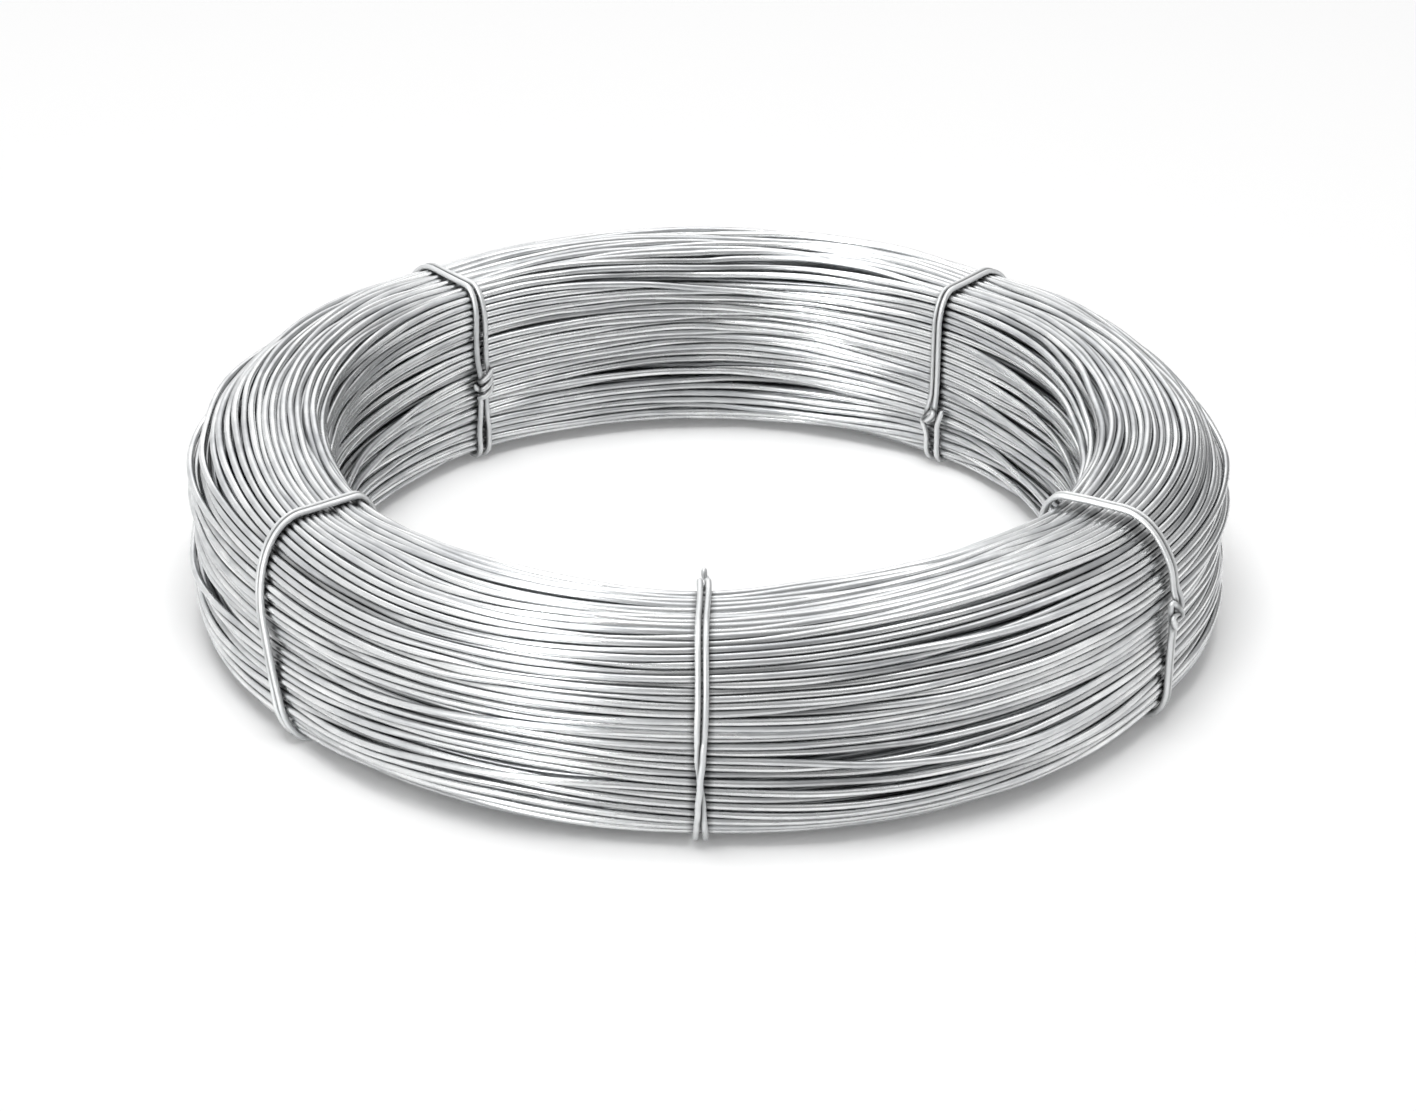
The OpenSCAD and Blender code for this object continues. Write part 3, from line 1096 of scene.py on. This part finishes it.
    def build(self) -> None:
        """Make the turns and dress them."""
        shown, below, sunk = self.lay.settle()
        rng = np.random.default_rng(self.lay.seed + 1)
        zones = self.zone_of(shown)
        bright, shade = WIRE_ZINC.make(), UNDER_ZINC.make()
        marks = self.marks()
        rings, run = self.rings(shown, marks, self.sides, self.section.wire / 2)
        tone = self.tones(rng, self.lay.turns, marks)
        tied = self.beside_ties(shown, marks)[..., None]
        beside = [np.roll(shown, step, axis=1) for step in (-3, -2, -1, 1, 2, 3)]
        beside += [below[:, (self.lay.nearest_under() + step) % self.lay.under_turns] for step in (-1, 0, 1)]
        crevice = np.minimum(self.crevices(shown, beside, sunk, marks, self.sides), 1)
        for zone in Zone:
            pick = np.array([i for i, z in enumerate(zones) if z is zone])
            # painted shade of each turn where it touches or lies sunk, weaker on the top and in the bore,
            # where light from above reaches down, and under and beside the ties
            shut = {Zone.TOP: self.top_shade, Zone.BORE: self.bore_shade}.get(zone, 1.0)
            dark = np.maximum(shut * crevice[pick], tied[pick])
            skin = wire_skin(rings[pick], run[pick], tone[pick], dark)
            self.pieces.append(skin.build(zone.value, bright))
        plain = np.append(self.lay.bearings, 180.0)
        rings, run = self.rings(below, plain, self.under_sides, self.section.wire / 2)
        tone = self.tones(rng, self.lay.under_turns, plain)
        skin = wire_skin(rings, run, tone, np.zeros(rings.shape[:3]))
        self.pieces.append(skin.build("turns_under", shade))
        for piece in self.pieces:
            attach(piece, "root")
        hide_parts("wire_coil")


@dataclass
class BindingTie:
    """One tie: a wire folded in two round the section, its ends worked into a knot at the fold.

    Attributes:
        section: the cut through the bundle.
        plan: where the tie stands and how it runs.
        wire: diameter of the tie wire.
        gap: distance from the turns to the strands.
        sides: sides of the wire.
        steps: points along a strand.
        lead: way along the tie from the first point of an end to its strand.
        eye_up: height of the eye over the strands.
        eye_run: length over which the strands open and rise into the eye.
        cut_run: length over which a cut end narrows.
        cut_width: width of a cut end, as a share of the wire.
        waver: how far the strands waver sideways.
        waver_run: way along the tie that one radian of that takes.
        tone: how far the tie has dulled.
        own_run: length of wire on each side of a place that does not shade it.
        look_round: how far from a place other wire is looked for, in radii of the wire.
        shade_reach: how near other wire has to be to shade the skin, in radii of the wire.
        rounds: times that the corners of the wire's line are cut off.
        piece: the mesh, once it is made.
    """

    section: Section
    plan: TiePlan
    wire: float = TIE_WIRE
    gap: float = 0.15
    sides: int = 12
    steps: int = 150
    lead: float = 3.0
    eye_up: float = 1.9
    eye_run: float = 14.0
    cut_run: float = 2.2
    cut_width: float = 0.35
    waver: float = 0.22
    waver_run: float = 9.0
    tone: float = 0.5
    own_run: float = 9.0
    look_round: float = 4.0
    shade_reach: float = 1.2
    rounds: int = 2
    piece: bpy.types.Object | None = None

    @staticmethod
    def along(pairs: tuple[tuple[float, float], ...], far: np.ndarray, length: float) -> np.ndarray:
        """Read a value given at a few distances from the knot.

        Args:
            pairs: distance and value; a distance below zero is counted back from the eye.
            far: distances to read at.
            length: way once round the section.

        Returns:
            The value at each distance, eased between the given ones.
        """
        known = sorted((v % length if v < 0 else v, value) for v, value in pairs)
        at, value = np.array([v for v, _ in known]), np.array([value for _, value in known])
        place = np.clip(np.searchsorted(at, far) - 1, 0, max(len(at) - 2, 0))
        after = np.minimum(place + 1, len(at) - 1)
        share = np.clip((far - at[place]) / np.maximum(at[after] - at[place], TINY), 0, 1)
        share = share * share * (3 - 2 * share)
        return value[place] + (value[after] - value[place]) * share

    def strand(self, side: int, length: float) -> np.ndarray:
        """One strand from beside the knot to the eye.

        Args:
            side: 1 or -1, the side of the tie that the strand starts on.
            length: way once round the section.

        Returns:
            Distance from the knot, height and sideways place of each point.
        """
        plan = self.plan
        begin = plan.ends[0][0][0]
        far = np.linspace(begin + self.lead, length - plan.eye, self.steps)
        half = self.along(plan.spread, far, length)
        opening = np.clip((far - (length - self.eye_run)) / (self.eye_run - plan.eye), 0, 1)
        opening = opening * opening * (3 - 2 * opening)
        half += (np.copysign(plan.eye, half) - half) * opening
        up = self.along(plan.stand, far, length) + self.eye_up * opening
        if side > 0:
            # where the strands cross, this one rides over the other
            up += np.sqrt(np.maximum(self.wire**2 - (2 * half) ** 2, 0))
        drift = self.waver * np.sin(far / self.waver_run + plan.bearing) * (1 - opening)
        return np.stack([far, up, side * half + drift], axis=1)

    def eye(self, start: float, length: float) -> np.ndarray:
        """The bend that joins both strands in front of the knot.

        Args:
            start: sideways place where the first strand comes in.
            length: way once round the section.

        Returns:
            Distance from the knot, height and sideways place of each point.
        """
        turn = np.radians(np.arange(15, 166, 15))
        wide = self.plan.eye
        return np.stack([length - wide + wide * np.sin(turn), np.full(turn.size, self.eye_up),
                         math.copysign(wide, start) * np.cos(turn)], axis=1)

    def centre_line(self) -> np.ndarray:
        """Points along the whole wire.

        Returns:
            Coordinates in metres, one point a row.
        """
        plan = self.plan
        rim = self.section.rim(self.gap + self.wire / 2)
        flat = len(rim.run) // 4
        top = (rim.run[flat - 1] + rim.run[flat]) / 2
        knot = top + plan.wall.value * plan.knot
        down = plan.wall.value * (-1 if plan.ends_up else 1)
        one, two = self.strand(1, rim.length), self.strand(-1, rim.length)
        round_trip = np.concatenate([one, self.eye(one[-1, 2], rim.length), two[::-1]])
        run = knot + down * round_trip[:, 0]
        place = rim.at(run) + round_trip[:, 1:2] * rim.outward(run)
        # the ends stand straight on from the knot, whatever the turns under them do
        foot, out = rim.at(np.array([knot]))[0], rim.outward(np.array([knot]))[0]
        ahead = down * np.array([-out[1], out[0]])
        ends = [np.array(route) for route in plan.ends]
        stub = [foot + end[:, :1] * ahead + end[:, 1:2] * out for end in ends]
        place = np.concatenate([stub[0][::-1], place, stub[1]])
        aside = np.concatenate([ends[0][::-1, 2], round_trip[:, 2], ends[1][:, 2]])
        lean = plan.lean * (0.5 - place[:, 1] / self.section.height)
        bearing = math.radians(plan.bearing) + (aside + lean) / place[:, 0]
        return np.stack([place[:, 0] * np.sin(bearing), -place[:, 0] * np.cos(bearing),
                         place[:, 1] + self.section.lift], axis=1) * MM

    def pressed(self, line: np.ndarray, rings: np.ndarray, run: np.ndarray) -> np.ndarray:
        """How near the tie's other strand is, all over the tie, as painted shade where the wire meets itself.

        Args:
            line: points along the middle of the wire.
            rings: corners as ring, side and coordinate.
            run: running length of each ring.

        Returns:
            Values as ring and side: 1 where the wire touches itself, 0 where nothing is near.
        """
        radius = self.wire / 2 * MM
        along = run[1:-1]
        near = np.zeros(rings.shape[:2])
        for i, ring in enumerate(rings):
            # the stretch that the ring itself belongs to does not count
            other = line[np.abs(along - run[i]) > self.own_run * MM]
            close = other[np.linalg.norm(other - ring.mean(axis=0), axis=1) < self.look_round * radius]
            if len(close):
                clear = np.linalg.norm(ring[:, None, :] - close[None], axis=-1).min(axis=1) - radius
                near[i] = np.clip(1 - clear / (self.shade_reach * radius), 0, 1)
        return near

    def build(self, material: bpy.types.Material) -> None:
        """Make the tie and dress it.

        Args:
            material: finish of the tie wire.
        """
        line = smooth_line(self.centre_line(), self.rounds)
        step = np.linalg.norm(np.diff(line, axis=0), axis=1)
        run = np.concatenate([[0.0], np.cumsum(step)])
        # cutters pinch both ends to a chisel point
        near = np.minimum(run, run[-1] - run) / (self.cut_run * MM)
        girth = self.wire / 2 * MM * (self.cut_width + (1 - self.cut_width) * np.sqrt(np.clip(near, 0, 1)))
        rings, run = swept_rings(line, girth, self.sides)
        tone = np.full((1, len(run)), self.tone)
        skin = wire_skin(rings[None], run[None], tone, self.pressed(line, rings, run)[None])
        self.piece = skin.build(f"{self.plan.name}_wire", material)
        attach(self.piece, "root")
        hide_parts(self.plan.name)


# share of each side that is cut off at a corner, and least distance between points, in metres
CORNER_CUT = 0.25
LEAST_STEP = 1e-5
# a direction that no wire starts along
ANY_WAY = (0.31, 0.83, 0.47)


def smooth_line(points: np.ndarray, rounds: int) -> np.ndarray:
    """Round the corners of a line by cutting them off, keeping its ends.

    Args:
        points: points along the line.
        rounds: number of times to cut.

    Returns:
        The smoother line.
    """
    for _ in range(rounds):
        near = (1 - CORNER_CUT) * points[:-1] + CORNER_CUT * points[1:]
        far = CORNER_CUT * points[:-1] + (1 - CORNER_CUT) * points[1:]
        inner = np.stack([near, far], axis=1).reshape(-1, 3)
        points = np.concatenate([points[:1], inner, points[-1:]])
    keep = np.concatenate([[True], np.linalg.norm(np.diff(points, axis=0), axis=1) > LEAST_STEP])
    return points[keep]


def swept_rings(line: np.ndarray, radius: np.ndarray, sides: int) -> tuple[np.ndarray, np.ndarray]:
    """Rings round a line, carried along it without twisting, closed to a point at each end.

    Args:
        line: points along the line, in metres.
        radius: radius of the wire at each point, in metres.
        sides: sides of a ring.

    Returns:
        Corners as ring, side and coordinate, and the running length of each ring.
    """
    ahead = np.gradient(line, axis=0)
    ahead /= np.linalg.norm(ahead, axis=1, keepdims=True)
    spoke = np.cross(ahead[0], ANY_WAY)
    turn = 2 * np.pi * np.arange(sides) / sides
    rings = []
    for place, way, wide in zip(line, ahead, radius):
        spoke = spoke - spoke.dot(way) * way
        spoke /= np.linalg.norm(spoke)
        across = np.cross(way, spoke)
        rings.append(place + wide * (np.cos(turn)[:, None] * spoke + np.sin(turn)[:, None] * across))
    first, last = np.repeat(line[:1], sides, axis=0), np.repeat(line[-1:], sides, axis=0)
    step = np.linalg.norm(np.diff(line, axis=0), axis=1)
    run = np.concatenate([[0.0, radius[0]], radius[0] + np.cumsum(step), [radius[0] * 2 + step.sum()]])
    return np.array([first, *rings, last]), run


def seen_or_mirrored(tree: bpy.types.NodeTree) -> bpy.types.NodeSocket:
    """Tell what the camera sees, straight, mirrored or through glass, from what only lights the scene.

    Args:
        tree: the material's or world's node tree.

    Returns:
        An output that is 1 for such rays and 0 for all others.
    """
    rays = add_node(tree, "ShaderNodeLightPath")
    either = add_node(tree, "ShaderNodeMath", {"operation": "MAXIMUM"},
                      {0: rays.outputs["Is Camera Ray"], 1: rays.outputs["Is Glossy Ray"]})
    any_of = add_node(tree, "ShaderNodeMath", {"operation": "MAXIMUM"},
                      {0: either.outputs[0], 1: rays.outputs["Is Transmission Ray"]})
    return any_of.outputs[0]


@dataclass(frozen=True)
class Lamp:
    """Soft lamp that faces the coil.

    Attributes:
        name: the lamp's name.
        place: where it hangs, in metres.
        along: the way that its long side runs.
        size: width and length of its face, in metres.
        power: its power in watts.
        mirrored: whether it shows in the bright wire; a lamp that does leaves the floor alone.
    """

    name: str
    place: tuple[float, float, float]
    along: tuple[float, float, float]
    size: tuple[float, float]
    power: float
    mirrored: bool

    def hang(self) -> None:
        """Make the lamp and turn it to the coil."""
        data = bpy.data.lights.new(self.name, "AREA")
        data.shape = "RECTANGLE"
        data.size, data.size_y = self.size
        data.energy = self.power
        lamp = bpy.data.objects.new(self.name, data)
        back = Vector(self.place).normalized()
        across = Vector(self.along).cross(back).normalized()
        turned = Matrix((across, back.cross(across), back)).transposed().to_4x4()
        lamp.matrix_world = Matrix.Translation(Vector(self.place)) @ turned
        lamp.visible_glossy = self.mirrored
        lamp.visible_diffuse = not self.mirrored
        bpy.context.scene.collection.objects.link(lamp)


LAMPS = (
    Lamp("overhead", (-0.2, -0.2, 4.0), (0.0, 1.0, 0.0), (2.2, 2.2), 110.0, mirrored=False),
    Lamp("key", (-0.87, 0.8, 3.82), (0.31, 1.0, 0.0), (1.2, 3.0), 40.0, mirrored=True),
    Lamp("strip", (-1.5, -2.1, 1.1), (0.0, 0.0, 1.0), (0.65, 2.0), 54.0, mirrored=True),
    Lamp("fill", (1.6, 0.3, 3.4), (-0.3, 1.0, 0.0), (1.2, 2.6), 20.0, mirrored=True),
    Lamp("back", (-0.3, 3.0, 1.6), (1.0, 0.0, 0.0), (1.6, 2.4), 6.0, mirrored=True),
)


@dataclass(frozen=True)
class DimSide:
    """Dimmer side of the room, as the wire mirrors it.

    Attributes:
        toward: direction of its middle.
        fade: cosine of the angle from the middle at which the dimming begins, and at which it is full.
        level: how bright the room is in the middle, where 1 is white.
    """

    toward: tuple[float, float, float]
    fade: tuple[float, float]
    level: float


# the room behind the camera, and its far right corner
DIM_SIDES = (
    DimSide((0.12, -0.93, 0.35), (0.3, 0.95), 0.34),
    DimSide((0.617, 0.772, 0.154), (0.8, 0.97), 0.2),
)


@dataclass
class Studio:
    """Plain pale floor, soft lamps and the camera at the photograph's place.

    Attributes:
        section: the cut through the bundle.
        distance: from the middle of the coil to the camera.
        elevation: how high the camera stands over the coil, in degrees.
        tilt: how far below the middle of the coil the camera looks, in degrees.
        roll: how far the camera is rolled, in degrees.
        focal_pixels: focal length in pixels of the photograph.
        film: width of the film.
        sight: nearest and farthest distance that the camera sees, in metres.
        floor_half: half the width of the floor, in metres.
        paper: colour of the floor.
        glow: how far the floor is lifted towards white where it is seen or mirrored.
        sky: light that falls on matt surfaces from the horizon and from straight above.
    """

    section: Section
    distance: float = 1594.1
    elevation: float = 26.065
    tilt: float = 0.975
    roll: float = 0.6
    focal_pixels: float = 3603.8
    film: float = 36.0
    sight: tuple[float, float] = (0.05, 50.0)
    floor_half: float = 8.0
    paper: str = "#f7f7f7"
    glow: float = 0.12
    sky: tuple[float, float] = (0.05, 0.5)

    def camera(self) -> None:
        """Place the camera."""
        data = bpy.data.cameras.new("camera")
        data.sensor_fit = "HORIZONTAL"
        data.sensor_width = self.film
        data.lens = self.film * self.focal_pixels / IMAGE_WIDTH
        data.clip_start, data.clip_end = self.sight
        camera = bpy.data.objects.new("camera", data)
        bpy.context.scene.collection.objects.link(camera)
        bpy.context.scene.camera = camera
        rise, look = math.radians(self.elevation), math.radians(self.elevation + self.tilt)
        turn = math.radians(self.roll)
        middle = self.section.lift + self.section.height / 2
        right, up = Vector((1, 0, 0)), Vector((0, math.sin(look), math.cos(look)))
        back = Vector((0, -math.cos(look), math.sin(look)))
        leaning = right * math.cos(turn) + up * math.sin(turn)
        upright = up * math.cos(turn) - right * math.sin(turn)
        place = Vector((0, -self.distance * math.cos(rise), middle + self.distance * math.sin(rise))) * MM
        turned = Matrix((leaning, upright, back)).transposed().to_4x4()
        camera.matrix_world = Matrix.Translation(place) @ turned

    def floor(self) -> None:
        """Lay the floor."""
        mesh = bpy.data.meshes.new("floor")
        half = self.floor_half
        corners = [(-half, -half, 0), (half, -half, 0), (half, half, 0), (-half, half, 0)]
        mesh.from_pydata(corners, [], [(0, 1, 2, 3)])
        floor = bpy.data.objects.new("floor", mesh)
        bpy.context.scene.collection.objects.link(floor)
        # uncoated paper: an even white with no shine that takes the soft shadow of the coil
        material = bpy.data.materials.new("matt_white_paper")
        material.use_nodes = True
        tree = material.node_tree
        tree.nodes.clear()
        paper = add_node(tree, "ShaderNodeBsdfDiffuse", {"Color": to_linear(self.paper)})
        faint = add_node(tree, "ShaderNodeMath", {"operation": "MULTIPLY", 1: self.glow},
                         {0: seen_or_mirrored(tree)})
        glow = add_node(tree, "ShaderNodeEmission", {"Color": to_linear("#ffffff")},
                        {"Strength": faint.outputs[0]})
        both = add_node(tree, "ShaderNodeAddShader", None, {0: paper.outputs[0], 1: glow.outputs[0]})
        add_node(tree, "ShaderNodeOutputMaterial", None, {0: both.outputs[0]})
        mesh.materials.append(material)

    def world(self) -> None:
        """Fill the room with soft light that is dimmer on some sides where the wire mirrors it."""
        world = bpy.data.worlds.new("room")
        bpy.context.scene.world = world
        world.use_nodes = True
        tree = world.node_tree
        tree.nodes.clear()
        where = add_node(tree, "ShaderNodeTexCoord")
        dims = []
        for side in DIM_SIDES:
            toward = add_node(tree, "ShaderNodeVectorMath", {"operation": "DOT_PRODUCT", 1: side.toward},
                              {0: where.outputs["Generated"]})
            dim = add_node(tree, "ShaderNodeMapRange",
                           {1: side.fade[0], 2: side.fade[1], 3: 1.0, 4: side.level},
                           {0: toward.outputs["Value"]})
            dims.append(dim.outputs[0])
        walls = add_node(tree, "ShaderNodeMath", {"operation": "MULTIPLY"}, {0: dims[0], 1: dims[1]})
        height = add_node(tree, "ShaderNodeSeparateXYZ", None, {0: where.outputs["Generated"]})
        sky = add_node(tree, "ShaderNodeMapRange", {1: 0.0, 2: 1.0, 3: self.sky[0], 4: self.sky[1]},
                       {0: height.outputs["Z"]})
        level = add_node(tree, "ShaderNodeMix", None,
                         {0: seen_or_mirrored(tree), 2: sky.outputs[0], 3: walls.outputs[0]})
        air = add_node(tree, "ShaderNodeBackground", {"Color": to_linear("#ffffff")},
                       {"Strength": level.outputs[0]})
        add_node(tree, "ShaderNodeOutputWorld", None, {0: air.outputs[0]})

    def build(self) -> None:
        """Set up the room, the lamps and the camera."""
        bpy.context.scene.view_settings.view_transform = "Standard"
        self.world()
        self.floor()
        for lamp in LAMPS:
            lamp.hang()
        self.camera()


def main() -> None:
    """Load the frame, build each part of the object in order and report it."""
    logging.basicConfig(level=logging.INFO, format="%(name)s: %(message)s")
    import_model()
    section = Section()
    bundle = WireBundle(section, Lay(section, TIE_PLANS))
    bundle.build()
    for piece in bundle.pieces:
        LOG.info("%s: %d faces", piece.name, len(piece.data.polygons))
    tie_zinc = TIE_ZINC.make()
    for plan in TIE_PLANS:
        tie = BindingTie(section, plan)
        tie.build(tie_zinc)
        LOG.info("%s: %d faces", tie.piece.name, len(tie.piece.data.polygons))
    Studio(section).build()


if __name__ == "__main__":
    main()
